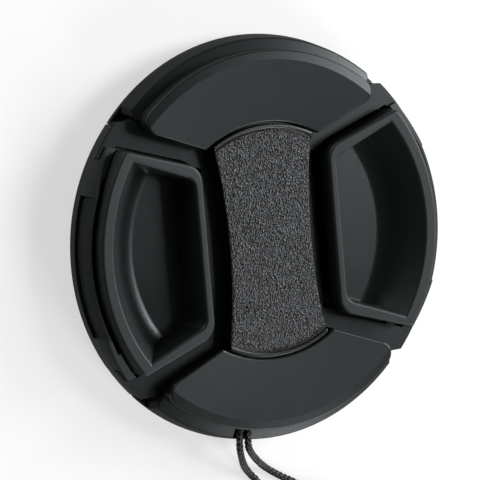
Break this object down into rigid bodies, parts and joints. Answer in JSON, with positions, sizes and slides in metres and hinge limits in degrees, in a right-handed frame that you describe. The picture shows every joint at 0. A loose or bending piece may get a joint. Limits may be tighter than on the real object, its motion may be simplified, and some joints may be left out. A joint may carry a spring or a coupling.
{
  "type": "camera lens cap",
  "caption": "Round clip-on lens cap with sprung finger clips at its sides, raised crescents, a grained centre inlay and a looped tether cord, lying face up.",
  "frame": {"origin": "centre of the cap at the rear of its thread lugs, which lie on the table", "axes": "+Z out of the front face, +X towards the right-hand clip, +Y towards the crescent away from the tether"},
  "size_m": [0.06, 0.0869, 0.009],
  "materials": {
    "cover": "satin",
    "inlay": "grained",
    "rear": "matt",
    "clip": "satin",
    "spring": "drawn wire",
    "cord": "braided",
    "tie": "matt"
  },
  "bodies": {
    "cover": {"front_cover": "cover", "centre_inlay": "inlay", "rear_plate": "rear", "left_upper_spring": "spring", "left_lower_spring": "spring", "right_upper_spring": "spring", "right_lower_spring": "spring", "tether_strand_left": "cord", "tether_strand_right": "cord", "tether_stopper": "cord", "tether_coil": "cord", "tether_tie": "tie"},
    "left_clip": {"left_clip": "clip"},
    "right_clip": {"right_clip": "clip"}
  },
  "joints": [
    {"name": "left_clip_slide", "type": "slide", "parent": "cover", "child": "left_clip", "axis": [1, 0, 0], "range_m": [0, 0.0025], "stiffness_N_per_m": 800, "deforming": ["left_upper_spring", "left_lower_spring"]},
    {"name": "right_clip_slide", "type": "slide", "parent": "cover", "child": "right_clip", "axis": [-1, 0, 0], "range_m": [0, 0.0025], "stiffness_N_per_m": 800, "deforming": ["right_upper_spring", "right_lower_spring"]}
  ]
}
